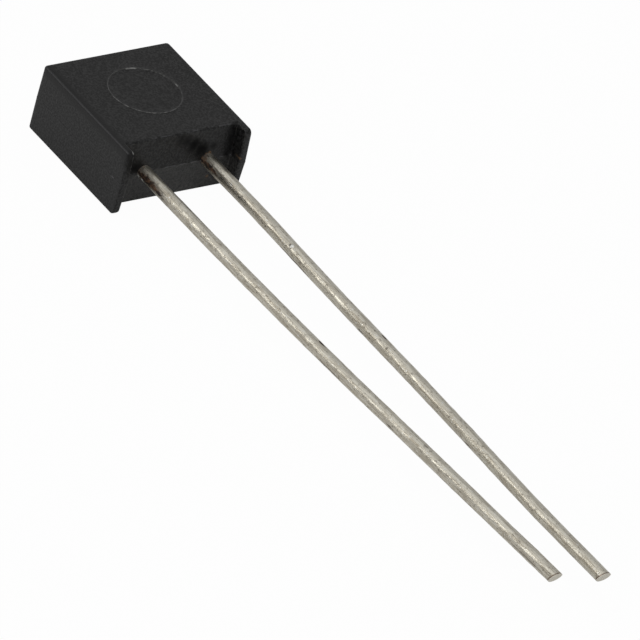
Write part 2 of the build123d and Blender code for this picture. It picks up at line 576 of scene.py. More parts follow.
@dataclass(frozen=True)
class TinnedWire:
    """Dull tin over copper: drawn along the wire, warm grey, with pits, dark dashes and brown marks,
    painted shade down its -X side, brown residue that near the roots also stands in as painted shade,
    and painted highlights as white glints.

    The tip and the slant say where the cut is. The seed moves the noise, so that no two wires match.
    """

    name: str
    seed: float
    tip: float
    slant: float
    marks: tuple[Blot, ...]
    residue_and_shade: tuple[Blot, ...]
    glints: tuple[Blot, ...]
    colour: Triple = (0.86, 0.83, 0.73)
    dull: Triple = (0.5, 0.455, 0.37)
    dirt: Triple = (0.07, 0.05, 0.04)
    # Dark brown for the residue near the roots, which also stands in as painted shade there.
    brown: Triple = (0.035, 0.027, 0.022)
    tan: Triple = (0.17, 0.10, 0.062)
    bare: Triple = (0.72, 0.68, 0.58)
    white: Triple = (0.85, 0.85, 0.82)
    burr: Triple = (0.14, 0.08, 0.055)
    fleck_strength: float = 0.8
    dash_strength: float = 0.5
    burr_strength: float = 0.85
    roughness: float = 0.285
    relief: float = 0.03

    def material(self) -> bpy.types.Material:
        """Builds the material.

        Returns:
            The finished material.
        """
        sheet = NodeSheet.for_material(self.name)
        point = sheet.wire_place()
        across, along, up = sheet.axes(point)
        from_cut = self.tip + up * self.slant - along
        along = along + self.seed
        streaks = sheet.grain(sheet.vector(across, along * 0.07, up), 8.0, 3.0, 0.6)
        lines = sheet.grain(sheet.vector(across, along * 0.05, up), 19.0, 2.0, 0.5)
        short = sheet.vector(across, along * 0.4, up)
        patches = sheet.grain(short, 2.2, 3.0, 0.6)
        ragged = sheet.grain(short, 9.0, 3.0, 0.6)
        pits = sheet.grain(sheet.vector(across, along * 0.5, up), 8.0, 2.0, 0.7)

        drawn = streaks.ramp(0.42, 0.64) * 0.4 + lines.ramp(0.44, 0.62) * 0.4
        # Painted shade: the wire's -X side is made duller.
        streaks_and_shade = drawn + patches.ramp(0.42, 0.7) * 0.2 + across.ramp(-0.1, -0.4) * 0.35
        colour = sheet.mix(streaks_and_shade, self.colour, self.dull)
        colour = sheet.mix(pits.ramp(0.38, 0.31) * self.fleck_strength, colour, self.white)
        dashes = pits.ramp(0.59, 0.67) * self.dash_strength
        marked = dashes.highest(blots(sheet, point, ragged, self.marks))
        colour = sheet.mix(marked, colour, self.dirt)
        # Brown residue near the roots. On the wire's lower -X side it also stands in as painted shade, where
        # the dark moulding is mirrored.
        residue_and_shade_share = blots(sheet, point, ragged, self.residue_and_shade)
        colour = sheet.mix(residue_and_shade_share, colour, sheet.mix(ragged.ramp(0.4, 0.65), self.brown, self.tan))
        glint = blots(sheet, point, ragged, self.glints)
        colour = sheet.mix(glint, colour, self.white)
        rim = from_cut.ramp(0.15, 0.06) * up.ramp(-0.3, 0.0) * self.burr_strength
        colour = sheet.mix(rim, colour, self.burr)
        face = from_cut.ramp(0.035, 0.03)
        colour = sheet.mix(face, colour, self.bare)

        uneven = patches.ramp(0.35, 0.65) * 0.13 + (lines - 0.5) * 0.2
        return sheet.surface(
            Base_Color=colour,
            Metallic=1.0 - (residue_and_shade_share * 0.6).highest(glint * 0.8).highest(face * 0.7),
            Roughness=self.roughness + uneven + marked * 0.2,
            Normal=sheet.bump(streaks * 0.6 + lines * 0.4 + pits * 0.4, self.relief, 0.8),
        )


@dataclass(frozen=True)
class PlainStuff:
    """A material of one colour with grain: the pieces sealed inside the moulding."""

    name: str
    colour: Triple
    roughness: float
    metallic: float = 0.0
    grains: float = 8.0
    drawn: float = 1.0
    depth: float = 0.01
    contrast: float = 0.25

    def material(self) -> bpy.types.Material:
        """Builds the material.

        Returns:
            The finished material.
        """
        sheet = NodeSheet.for_material(self.name)
        x, y, z = sheet.axes(sheet.place())
        point = sheet.vector(x, y * self.drawn, z)
        fine = sheet.grain(point, self.grains, 3.0, 0.6)
        cloud = sheet.grain(point, self.grains / 6, 2.0)
        darker, lighter = tint(self.colour, 1 - self.contrast), tint(self.colour, 1 + self.contrast)
        return sheet.surface(
            Base_Color=sheet.mix((fine + cloud) * 0.5, darker, lighter),
            Metallic=self.metallic,
            Roughness=self.roughness + (fine - 0.5) * 0.2,
            Normal=sheet.bump(fine, self.depth, 0.6),
        )


SOFT_COAT = PlainStuff("soft_silicone_coat", (0.55, 0.56, 0.55), 0.45, grains=3.0, depth=0.02)
ALUMINA = PlainStuff("white_alumina", (0.72, 0.70, 0.66), 0.55, grains=14.0, contrast=0.08)
CEMENT = PlainStuff("amber_cement", (0.42, 0.24, 0.07), 0.3, grains=5.0)
FOIL_ALLOY = PlainStuff("etched_foil_alloy", (0.55, 0.53, 0.50), 0.34, 1.0, grains=20.0, drawn=0.15)
RIBBON_METAL = PlainStuff("ribbon_metal", (0.66, 0.60, 0.52), 0.3, 1.0, grains=12.0, drawn=0.1)


# ---------------------------------------------------------------- mesh helpers


class Skin:
    """Collects points and faces for one mesh, in millimetres."""

    def __init__(self) -> None:
        """Starts with nothing."""
        self.points: list[tuple[float, float, float]] = []
        self.faces: list[tuple[int, ...]] = []

    def ring(self, points: np.ndarray | list[Triple]) -> list[int]:
        """Adds points.

        Args:
            points: One x, y, z for each point.

        Returns:
            The points' numbers.
        """
        first = len(self.points)
        self.points.extend(map(tuple, points))
        return list(range(first, first + len(points)))

    def bridge(self, lower: list[int], upper: list[int]) -> None:
        """Joins two closed rings of the same count with four-sided faces."""
        for here, there in zip(range(len(lower)), [*range(1, len(lower)), 0]):
            self.faces.append((lower[here], lower[there], upper[there], upper[here]))

    def fan(self, ring: list[int], centre: np.ndarray) -> None:
        """Closes a ring with three-sided faces.

        Args:
            ring: The numbers of the ring's points.
            centre: The point that the faces meet at.
        """
        (hub,) = self.ring([centre])
        for here, there in zip(ring, [*ring[1:], ring[0]]):
            self.faces.append((here, there, hub))

    def build(self, name: str, places: list[Triple] | None = None) -> bpy.types.Object:
        """Makes the object.

        Args:
            name: The piece's name.
            places: Where each point lies on the straightened wire, for a wire.

        Returns:
            The object, in the scene and in metres.
        """
        mesh = bpy.data.meshes.new(name)
        mesh.from_pydata((np.array(self.points) * MM).tolist(), [], self.faces)
        mesh.update()
        if places:
            kept = mesh.attributes.new(WIRE_PLACE, "FLOAT_VECTOR", "POINT")
            kept.data.foreach_set("vector", np.array(places, dtype=np.float32).ravel())
        piece = in_scene(name, mesh)
        finish_mesh(piece)
        return piece


def in_scene(name: str, data: bpy.types.ID) -> bpy.types.Object:
    """Adds an object to the scene.

    Args:
        name: The object's name.
        data: Its mesh, camera or lamp.

    Returns:
        The object.
    """
    piece = bpy.data.objects.new(name, data)
    bpy.context.scene.collection.objects.link(piece)
    return piece


def finish_mesh(piece: bpy.types.Object) -> None:
    """Turns every face outwards and shades the mesh smooth, except over sharp edges.

    Args:
        piece: The object.
    """
    work = bmesh.new()
    work.from_mesh(piece.data)
    bmesh.ops.recalc_face_normals(work, faces=work.faces)
    work.to_mesh(piece.data)
    work.free()
    piece.data.shade_smooth()
    piece.data.set_sharp_from_angle(angle=math.radians(SHARP_ANGLE))


def dress(piece: bpy.types.Object, material: bpy.types.Material) -> None:
    """Gives a piece one material.

    Args:
        piece: The object.
        material: The material, which takes the place of any that it has.
    """
    piece.data.materials.clear()
    piece.data.materials.append(material)
    for slot in piece.material_slots:
        slot.material = material


def wander(x: float, y: float, z: float) -> float:
    """Smooth noise from about -1 to 1."""
    return noise.noise(Vector((x, y, z)))


def smooth(value: float | np.ndarray, low: float, high: float) -> float | np.ndarray:
    """Rises smoothly from 0 at low to 1 at high."""
    share = np.clip((value - low) / (high - low), 0.0, 1.0)
    return share * share * (3 - 2 * share)


def turned(turn: float) -> Vector:
    """The direction in plan at a turn from +X."""
    return Vector((math.cos(turn), math.sin(turn)))


def full_turn(count: int) -> list[float]:
    """Evenly spaced turns round a circle."""
    return [2 * math.pi * step / count for step in range(count)]


def rounded(start: Vector, corner: Vector, end: Vector, steps: int) -> list[Vector]:
    """Points along a rounded corner.

    Args:
        start: Where the rounding begins, on the side before the corner.
        corner: The sharp corner.
        end: Where it ends, on the side after the corner.
        steps: How many runs the rounding has.

    Returns:
        The points, from start to end.
    """
    shares = [step / steps for step in range(steps + 1)]
    return [start * (1 - share) ** 2 + corner * 2 * share * (1 - share) + end * share**2 for share in shares]


# ---------------------------------------------------------------- moulded case


class LargeFace(Enum):
    """The moulding's two large faces."""

    LOWER = "the plain face that the part lies on"
    UPPER = "the face with the ejector mark"


@dataclass(frozen=True)
class Corner:
    """One corner of the case seen from above, with its rounding and the runs of the side after it."""

    x: float
    y: float
    radius: float
    steps: int
    side_steps: int


@dataclass
class MouldedCase:
    """The epoxy moulding: a drafted block with two standoff ribs and a hollow for the coated element."""

    width: float
    height: float
    thickness: float
    end_draft: float = 3.5
    side_draft: float = 0.4
    edge_radius: float = 0.12
    nose_radius: float = 0.3
    back_corner_radius: float = 0.22
    arris: float = 0.025
    recess_depth: float = 0.79
    standoff_width: float = 0.45
    seam_height: float = 0.012
    seam_width: float = 0.02
    seam_waves: float = 1.7
    seam_seeds: tuple[float, float] = (3.1, 4.0)
    mark_radius: float = 1.95
    mark_depth: float = 0.03
    mark_x: float = 0.19
    mark_height: float = 4.72
    mark_clearance: float = 0.03
    mark_sink: float = 1.3
    mark_profile: tuple[tuple[float, float], ...] = (
        (0.012, 1.0),
        (0.0, 0.6),
        (-0.008, -1.0),
        (-0.03, -1.3),
        (-0.3, -1.3),
        (-0.7, -1.25),
        (-1.2, -1.35),
        (-1.6, -1.3),
    )
    burr_height: float = 0.008
    burr_waves: float = 2.3
    burr_seed: float = 7.0
    cap_margin: float = 0.08
    cap_pitch: float = 0.3
    cap_rib_clearance: float = 0.6
    edge_steps: int = 9
    wall_steps: int = 16
    back_round_steps: int = 6
    tip_round_steps: int = 5
    inner_round_steps: int = 3
    side_runs: int = 56
    recess_runs: int = 48
    rib_wall_runs: int = 8
    rib_tip_runs: int = 5
    mark_around: int = 160

    @classmethod
    def from_frame(cls) -> MouldedCase:
        """The moulding at the size of its CAD node."""
        low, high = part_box("moulded_case")
        return cls(*((high - low) / MM))

    @property
    def middle(self) -> float:
        """The height of the parting plane."""
        return self.thickness / 2

    @property
    def seat_y(self) -> float:
        """Where the standoff tips are."""
        return -self.height / 2

    @property
    def exit_y(self) -> float:
        """Where the leads come out, at the parting plane."""
        return self.seat_y + self.recess_depth

    @property
    def mark_centre(self) -> tuple[float, float]:
        """The middle of the ejector mark."""
        return self.mark_x, self.seat_y + self.mark_height

    @property
    def mark_dip(self) -> float:
        """How far the mark's floor sinks for each 1 in its profile."""
        return self.mark_depth - self.burr_height

    @property
    def recess_half(self) -> float:
        """Half the width between the standoff ribs."""
        return self.width / 2 - self.standoff_width

    def sink(self, off_middle: float, radius: float) -> float:
        """How far a wall has drawn in at a height, where it is rounded into a large face."""
        into = off_middle - (self.middle - radius)
        return 0.0 if into <= 0 else radius - math.sqrt(max(radius**2 - into**2, 0.0))

    def corners(self, z: float) -> list[Corner]:
        """The corners of the moulding at one height.

        Args:
            z: The height.

        Returns:
            The corners, anticlockwise from the back right.
        """
        off_middle = abs(z - self.middle)
        side_lean = off_middle * math.tan(math.radians(self.side_draft))
        end_lean = off_middle * math.tan(math.radians(self.end_draft))
        edge = self.sink(off_middle, self.edge_radius)
        nose = self.sink(off_middle, self.nose_radius)
        half = self.width / 2 - side_lean - edge
        inner = self.recess_half + edge
        back = self.height / 2 - side_lean - edge
        tip_y = self.seat_y + end_lean + nose
        exit_y = self.exit_y + end_lean + edge
        back_round = (max(self.back_corner_radius - edge, self.arris), self.back_round_steps)
        tip_round = (max(self.edge_radius - edge, self.arris), self.tip_round_steps)
        inner_round = (self.arris, self.inner_round_steps)
        return [
            Corner(half, back, *back_round, self.side_runs),
            Corner(-half, back, *back_round, self.side_runs),
            Corner(-half, tip_y, *tip_round, self.rib_tip_runs),
            Corner(-inner, tip_y, *tip_round, self.rib_wall_runs),
            Corner(-inner, exit_y, *inner_round, self.recess_runs),
            Corner(inner, exit_y, *inner_round, self.rib_wall_runs),
            Corner(inner, tip_y, *tip_round, self.rib_tip_runs),
            Corner(half, tip_y, *tip_round, self.side_runs),
        ]

    def outline(self, z: float, shrink: float = 0.0) -> np.ndarray:
        """The closed outline at one height.

        Args:
            z: The height.
            shrink: How far the outline is drawn in all round.

        Returns:
            One row of x, y, z for each point.
        """
        corners = self.corners(z)
        spots = [Vector((corner.x, corner.y)) for corner in corners]
        if shrink:
            spots = self.drawn_in(spots, shrink)
        bends = []
        for index, corner in enumerate(corners):
            spot = spots[index]
            before = (spots[index - 1] - spot).normalized()
            after = (spots[(index + 1) % len(spots)] - spot).normalized()
            reach = corner.radius / math.tan(before.angle(after) / 2)
            bends.append((spot + before * reach, spot, spot + after * reach))
        points = []
        for index, (start, spot, end) in enumerate(bends):
            corner = corners[index]
            points += rounded(start, spot, end, corner.steps)
            following = bends[(index + 1) % len(bends)][0]
            points += [end.lerp(following, step / corner.side_steps) for step in range(1, corner.side_steps)]
        return np.array([(point.x, point.y, z) for point in points])

    @staticmethod
    def drawn_in(spots: list[Vector], shrink: float) -> list[Vector]:
        """Moves each side of an outline inwards.

        Args:
            spots: The outline's corners, anticlockwise.
            shrink: How far each side moves.

        Returns:
            The new corners.
        """
        moved = []
        for index, spot in enumerate(spots):
            into = (spot - spots[index - 1]).normalized()
            out = (spots[(index + 1) % len(spots)] - spot).normalized()
            mitre = Vector((-into.y - out.y, into.x + out.x))
            mitre.normalize()
            moved.append(spot + mitre * (shrink / mitre.dot(Vector((-into.y, into.x)))))
        return moved

    def levels(self) -> list[tuple[float, float]]:
        """Every height that the walls are cut at.

        Returns:
            Each height, from the bottom up, with how far the wall lies inside its flash there as a
            share of the flash's height.
        """
        quarter = [1 - math.cos(math.pi / 2 * step / self.edge_steps) for step in range(self.edge_steps)]
        straight_top = self.middle - 2.5 * self.seam_width
        rising = [radius * share for radius in (self.edge_radius, self.nose_radius) for share in quarter]
        rising += list(np.linspace(self.edge_radius, straight_top, self.wall_steps))
        lower = [(z, 1.0) for z in sorted({round(float(z), 4) for z in rising})]
        lower += [(self.middle - self.seam_width, 1.0), (self.middle - self.seam_width / 3, 0.15)]
        return lower + [(self.thickness - z, inset) for z, inset in reversed(lower)]

    def wall(self, z: float, inset: float) -> np.ndarray:
        """The outline at a level, set back from the flash and slightly uneven.

        Args:
            z: The level's height.
            inset: How far it lies inside the flash, as a share of the flash's height.

        Returns:
            One row of x, y, z for each point.
        """
        points = self.outline(z, self.seam_height * inset)
        if inset < 1:
            inner = self.outline(z, self.seam_height)
            shift, layer = self.seam_seeds
            for index, (x, y, _) in enumerate(points):
                kept = 0.5 + 0.5 * wander(x * self.seam_waves + shift, y * self.seam_waves, layer)
                points[index] = points[index] * kept + inner[index] * (1 - kept)
        return points

    def cap(self, skin: Skin, rim: list[int], face: LargeFace) -> None:
        """Closes a large face, with the ejector mark on the upper one.

        Args:
            skin: The mesh so far.
            rim: The numbers of the points round the face.
            face: Which of the two it is.
        """
        marked = face is LargeFace.UPPER
        z = self.thickness if marked else 0.0
        inner = skin.ring(self.outline(z, self.cap_margin))
        skin.bridge(rim, inner)
        border = [Vector(skin.points[index][:2]) for index in inner]
        centre = Vector(self.mark_centre)
        around, hoop = self.mark_around, len(border)
        hoop_radius = self.mark_radius + self.mark_clearance
        ring = [centre + turned(turn) * hoop_radius for turn in full_turn(around)] if marked else []
        spread = self.scatter(border, centre, hoop_radius if marked else 0.0)
        edges = [(hoop + step, hoop + (step + 1) % around) for step in range(len(ring))]
        # Triangles fill the face between its border, the hoop round the mark and the spread points.
        spots, _, faces, origin, _, _ = geometry.delaunay_2d_cdt(
            border + ring + spread, edges, [list(range(hoop))], 1, 1e-6
        )
        numbers = {}
        for index, spot in enumerate(spots):
            source = origin[index][0] if origin[index] else None
            if source is not None and source < hoop:
                numbers[index] = inner[source]
            else:
                (numbers[index],) = skin.ring([(spot.x, spot.y, z)])
        for corners in faces:
            middle = sum((spots[index] for index in corners), Vector((0, 0))) / len(corners)
            in_mark = marked and (middle - centre).length < hoop_radius * math.cos(math.pi / around)
            if not in_mark:
                skin.faces.append(tuple(numbers[index] for index in corners))
        if marked:
            lookup = {origin[index][0]: numbers[index] for index in range(len(spots)) if origin[index]}
            self.mark(skin, [lookup[hoop + step] for step in range(around)], z)

    def scatter(self, border: list[Vector], centre: Vector, clear: float) -> list[Vector]:
        """Spreads points over a large face, clear of its border and of the ejector mark.

        Args:
            border: The points round the face.
            centre: The middle of the ejector mark.
            clear: The radius that stays clear round it.

        Returns:
            The points.
        """
        margin = self.cap_pitch / 2
        low_x, high_x = min(p.x for p in border) + margin, max(p.x for p in border) - margin
        low_y, high_y = self.exit_y + self.cap_rib_clearance, max(p.y for p in border) - margin
        across, along = np.arange(low_x, high_x, self.cap_pitch), np.arange(low_y, high_y, self.cap_pitch)
        grid = [Vector((float(x), float(y))) for x in across for y in along]
        return [spot for spot in grid if (spot - centre).length > clear + margin]

    def mark(self, skin: Skin, outer: list[int], z: float) -> None:
        """Adds the ejector mark: a burr round a shallow flat-bottomed dish.

        Args:
            skin: The mesh so far.
            outer: The numbers of the points round the mark.
            z: The height of the large face.
        """
        turns = full_turn(self.mark_around)
        previous = outer
        for offset, rise in self.mark_profile:
            points = []
            for turn in turns:
                way = turned(turn)
                place = (way.x * self.burr_waves, way.y * self.burr_waves, self.burr_seed)
                uneven = 0.55 + 0.45 * wander(*place)
                height = rise * (self.burr_height * uneven if rise > 0 else self.mark_dip)
                x, y = (mid + part * (self.mark_radius + offset) for mid, part in zip(self.mark_centre, way))
                points.append((x, y, z + min(height, self.burr_height)))
            ring = skin.ring(points)
            skin.bridge(previous, ring)
            previous = ring
        skin.fan(previous, np.array((*self.mark_centre, z - self.mark_sink * self.mark_dip)))

    def shell(self) -> bpy.types.Object:
        """The outside of the moulding. Its upper half sinks by the burr's height, to leave it room.

        Returns:
            The closed shape.
        """
        skin = Skin()
        rings = [skin.ring(self.wall(z, inset)) for z, inset in self.levels()]
        for lower, upper in zip(rings, rings[1:]):
            skin.bridge(lower, upper)
        self.cap(skin, rings[0], LargeFace.LOWER)
        self.cap(skin, rings[-1], LargeFace.UPPER)
        points = np.array(skin.points)
        points[:, 2] -= self.burr_height * smooth(points[:, 2], self.middle, self.thickness)
        skin.points = [tuple(point) for point in points]
        return skin.build("case_moulding")

    def build(self, hollows: list[bpy.types.Object]) -> bpy.types.Object:
        """The moulding with its hollow for the element and its bores for the wires.

        Args:
            hollows: Closed shapes to cut away, which are used up.

        Returns:
            The moulding, before its finish.
        """
        case = self.shell()
        for hollow in hollows:
            cut = case.modifiers.new("hollow", "BOOLEAN")
            cut.operation = "DIFFERENCE"
            cut.solver = "EXACT"
            cut.object = hollow
        view = bpy.context.evaluated_depsgraph_get()
        mesh = bpy.data.meshes.new_from_object(case.evaluated_get(view))
        case.modifiers.clear()
        case.data = mesh
        for hollow in hollows:
            bpy.data.objects.remove(hollow)
        finish_mesh(case)
        return case

    def epoxy(self) -> MouldedEpoxy:
        """The moulding's finish, laid out by its own sizes."""
        places = (self.width / 2, self.middle, self.exit_y, self.thickness)
        return MouldedEpoxy(*places, self.mark_centre, self.mark_radius, self.recess_half)

    def add(self, hollows: list[bpy.types.Object]) -> bpy.types.Object:
        """Builds and dresses the moulding, in place of its CAD node.

        Args:
            hollows: Closed shapes to cut away, which are used up.

        Returns:
            The finished piece.
        """
        moulding = self.build(hollows)
        dress(moulding, self.epoxy().material())
        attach(moulding, "root")
        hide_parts("moulded_case")
        return moulding


# ---------------------------------------------------------------- leads


class WireForm(Enum):
    """What a lead's sections are made into."""

    WIRE = "the wire itself"
    BORE = "the shape that cuts its way into the moulding"


@dataclass(frozen=True)
class Bead:
    """A small drop of tin on a wire."""

    along: float
    turn: float
    radius: float
    height: float


@dataclass(frozen=True)
class Ripple:
    """One layer of unevenness in the tin: its waves along and round the wire, and its height."""

    along: float
    turning: float
    height: float
    shift: float = 1.0


@dataclass
class LeadWire:
    """One tinned wire, with a flattened inner end, its own slight bends and a slanted cut tip.

    Each bend is given by its place along the wire and its place aside, both as shares of the length.
    """

    name: str
    node: str
    tin: str
    root_x: float
    length: float
    bends: tuple[tuple[float, float], ...]
    seed: float
    seat_y: float
    exit_y: float
    level: float
    marks: tuple[Blot, ...]
    residue_and_shade: tuple[Blot, ...]
    glints: tuple[Blot, ...]
    beads: tuple[Bead, ...] = ()
    ripples: tuple[Ripple, ...] = (
        Ripple(0.55, 0.5, 0.012),
        Ripple(1.9, 1.3, 0.009),
        Ripple(0.35, 3.2, 0.006, shift=2.0),
    )
    ripple_fade: tuple[float, float] = (0.1, 0.8)
    radius: float = WIRE_RADIUS
    grip: float = 0.6
    neck_length: float = 0.5
    paddle_length: float = 0.8
    paddle_thickness: float = 0.3
    tip_bevel: float = 27.0
    tip_shear_reach: float = 1.3
    tip_profile: tuple[tuple[float, float], ...] = ((0.96, 0.0), (0.8, 0.012), (0.55, 0.02), (0.25, 0.022))
    bend_share: float = 0.45
    bend_steps: int = 12
    step: float = 0.045
    around: int = 60
    bore_around: int = 32
    bore_stride: int = 4
    bore_overrun: float = 0.5

    @property
    def neck_y(self) -> float:
        """Where the round wire begins to flatten."""
        return self.exit_y + self.grip

    @property
    def slant(self) -> float:
        """How far the cut runs along the wire for each millimetre of height."""
        return math.tan(math.radians(self.tip_bevel))

    @property
    def tip(self) -> float:
        """How far the cut is from the board face, along the wire's middle."""
        return float(self.travel(self.centre_line())[-1])

    def travel(self, line: np.ndarray) -> np.ndarray:
        """How far each point of the middle line is from the board face, along the line."""
        return run_along(line) - (line[0][1] - self.seat_y)

    def centre_line(self) -> np.ndarray:
        """The middle of the wire in plan.

        Returns:
            Evenly spaced points, from the flattened end to the tip.
        """
        start = self.neck_y + self.neck_length + self.paddle_length
        spots = [Vector((self.root_x, y)) for y in (start, self.exit_y)]
        for along, aside in self.bends:
            spots.append(Vector((self.root_x + self.length * aside, self.seat_y - self.length * along)))
        curve = [spots[0]]
        for before, corner, after in zip(spots, spots[1:], spots[2:]):
            reach = self.bend_share * min((corner - before).length, (after - corner).length)
            enter = corner + (before - corner).normalized() * reach
            leave = corner + (after - corner).normalized() * reach
            curve += rounded(enter, corner, leave, self.bend_steps)
        curve.append(spots[-1])
        flat = np.array([(spot.x, spot.y) for spot in curve])
        along = run_along(flat)
        even = np.linspace(0, along[-1], int(along[-1] / self.step))
        return np.column_stack([np.interp(even, along, flat[:, 0]), np.interp(even, along, flat[:, 1])])

    def section(self, y: float) -> tuple[float, float, float]:
        """The wire's section, which flattens into a paddle inside the moulding.

        Args:
            y: The place.

        Returns:
            Half the width, half the thickness and the squareness.
        """
        flat_width = math.pi * self.radius**2 / self.paddle_thickness / 2
        share = smooth(y, self.neck_y, self.neck_y + self.neck_length)
        wide = self.radius + (flat_width - self.radius) * share
        thick = self.radius + (self.paddle_thickness / 2 - self.radius) * share
        return wide, thick, 2 + 2.5 * share

    def swell(self, along: float, turn: float) -> float:
        """How far the tin stands out or sinks at a place. Its ripples fade inside the moulding.

        Args:
            along: How far the place is from the board face.
            turn: How far round the wire it is, in radians.

        Returns:
            The height over the round wire.
        """
        out = smooth(along - (self.seat_y - self.exit_y), *self.ripple_fade)
        x, z = math.cos(turn), math.sin(turn)
        total = out * sum(
            ripple.height
            * wander(along * ripple.along + self.seed * ripple.shift, x * ripple.turning, z * ripple.turning)
            for ripple in self.ripples
        )
        for bead in self.beads:
            aside = math.remainder(turn - math.radians(bead.turn), 2 * math.pi) * self.radius
            off = math.hypot(along - bead.along, aside) / bead.radius
            total += bead.height * math.exp(-2 * off * off)
        return total

    def build(self, form: WireForm) -> bpy.types.Object:
        """Makes the wire, or the shape that bores its way into the moulding.

        Args:
            form: Which of the two to make. The bore ends just outside the moulding.

        Returns:
            The piece.
        """
        line = self.centre_line()
        is_bore = form is WireForm.BORE
        if is_bore:
            line = line[line[:, 1] > self.exit_y - self.bore_overrun][:: self.bore_stride]
        turns = full_turn(self.bore_around if is_bore else self.around)
        ahead = np.gradient(line, axis=0)
        ahead /= np.linalg.norm(ahead, axis=1)[:, None]
        run = self.travel(line)
        skin = Skin()
        rings, places = [], []
        for (x, y), (ahead_x, ahead_y), along in zip(line, ahead, run):
            wide, thick, square = self.section(y)
            shear = 0.0 if is_bore else self.slant * (1 - smooth(run[-1] - along, 0.0, self.tip_shear_reach))
            points = []
            for turn in turns:
                cos, sin = math.cos(turn), math.sin(turn)
                push = 0.0 if is_bore else self.swell(along, turn)
                across = (wide + push) * math.copysign(abs(cos) ** (2 / square), cos)
                up = (thick + push) * math.copysign(abs(sin) ** (2 / square), sin)
                on = up * shear
                aside_x, aside_y = x - ahead_y * across, y + ahead_x * across
                points.append((aside_x + ahead_x * on, aside_y + ahead_y * on, self.level + up))
                places.append((across, along + on, up))
            rings.append(points)
        numbers = [skin.ring(points) for points in rings]
        for before, after in zip(numbers, numbers[1:]):
            skin.bridge(before, after)
        self.close(skin, numbers[0], rings[0], places, run[0])
        if is_bore:
            self.close(skin, numbers[-1], rings[-1], places, run[-1])
            return skin.build("bore")
        self.cut_face(skin, numbers[-1], np.array(rings[-1]), ahead[-1], places)
        return skin.build(self.name, places)

    @staticmethod
    def close(skin: Skin, rim: list[int], points: list[Triple], places: list[Triple], along: float) -> None:
        """Closes an end of the wire flat."""
        skin.fan(rim, np.mean(points, axis=0))
        places.append((0.0, along, 0.0))

    def cut_face(
        self, skin: Skin, rim: list[int], points: np.ndarray, ahead: np.ndarray, places: list[Triple]
    ) -> None:
        """Closes the tip with a slightly hollow sheared face.

        Args:
            skin: The mesh so far.
            rim: The numbers of the points round the tip.
            points: Where those points are.
            ahead: The wire's direction in plan at the tip.
            places: Where every point lies on the straightened wire, which grows with the new ones.
        """
        centre = points.mean(axis=0)
        rim_places = np.array(places)[rim]
        middle = rim_places.mean(axis=0)
        previous = rim
        for share, depth in self.tip_profile:
            ring = skin.ring(centre + (points - centre) * share - np.array((*ahead, 0.0)) * depth)
            places.extend(map(tuple, middle + (rim_places - middle) * share - np.array((0.0, depth, 0.0))))
            skin.bridge(previous, ring)
            previous = ring
        deepest = self.tip_profile[-1][1]
        skin.fan(previous, centre - np.array((*ahead, 0.0)) * deepest)
        places.append(tuple(middle - np.array((0.0, deepest, 0.0))))

    def add(self) -> bpy.types.Object:
        """Builds and dresses the wire, in place of its CAD node.

        Returns:
            The finished piece.
        """
        wire = self.build(WireForm.WIRE)
        tin = TinnedWire(self.tin, self.seed, self.tip, self.slant, self.marks, self.residue_and_shade, self.glints)
        dress(wire, tin.material())
        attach(wire, "root")
        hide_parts(self.node)
        return wire


def run_along(line: np.ndarray) -> np.ndarray:
    """How far each point of a line is from its first one, along the line."""
    return np.concatenate([[0], np.cumsum(np.hypot(*np.diff(line, axis=0).T))])


def lead_pair(case: MouldedCase) -> tuple[LeadWire, LeadWire]:
    """Sets out the two leads, each with its own bends and marks.

    Args:
        case: The moulding that they come out of.

    Returns:
        The left lead and the right lead.
    """
    left = LeadWire(
        name="lead_wire_left",
        node="lead_left",
        tin="tin_left",
        root_x=-1.98,
        length=35.16,
        bends=((0.17, 0.0006), (0.454, 0.008), (0.653, 0.0188), (1.0, 0.0367)),
        seed=11.3,
        seat_y=case.seat_y,
        exit_y=case.exit_y,
        level=case.middle,
        marks=(
            on_wire(15.1, 74.0, 0.28, 0.09),
            on_wire(24.2, 95.0, 0.2, 0.07, 0.5),
            on_wire(21.7, 190.0, 0.35, 0.07, 0.7),
            on_wire(16.4, 198.0, 1.2, 0.05, 0.6),
            on_wire(33.2, 185.0, 1.6, 0.06, 0.6),
        ),
        residue_and_shade=(on_wire(0.2, 168.0, 1.5, 0.23), on_wire(-0.85, 135.0, 0.3, 0.35, 0.8)),
        glints=(on_wire(-0.35, 206.0, 0.14, 0.1), on_wire(-0.7, 203.0, 0.09, 0.08)),
    )
    right = LeadWire(
        name="lead_wire_right",
        node="lead_right",
        tin="tin_right",
        root_x=1.98,
        length=35.86,
        bends=((0.11, 0.0011), (0.278, -0.0028), (0.585, -0.0031), (0.822, -0.0077), (1.0, -0.0046)),
        seed=47.9,
        seat_y=case.seat_y,
        exit_y=case.exit_y,
        level=case.middle,
        marks=(
            on_wire(15.5, 74.0, 0.3, 0.08),
            on_wire(8.0, 202.0, 1.4, 0.05, 0.8),
            on_wire(16.3, 130.0, 0.07, 0.12, 0.6),
            on_wire(14.2, 195.0, 0.3, 0.06, 0.7),
            on_wire(24.1, 196.0, 0.45, 0.07, 0.7),
            on_wire(7.2, 124.0, 0.08, 0.1, 0.6),
            on_wire(0.9, 138.0, 1.3, 0.035, 0.7),
        ),
        residue_and_shade=(on_wire(-0.2, 169.0, 1.1, 0.18), on_wire(-0.75, 155.0, 0.4, 0.42, 0.9)),
        glints=(on_wire(7.37, 121.0, 0.12, 0.11),),
        beads=(Bead(7.35, 120.0, 0.12, 0.06),),
    )
    return left, right


# ---------------------------------------------------------------- sealed element


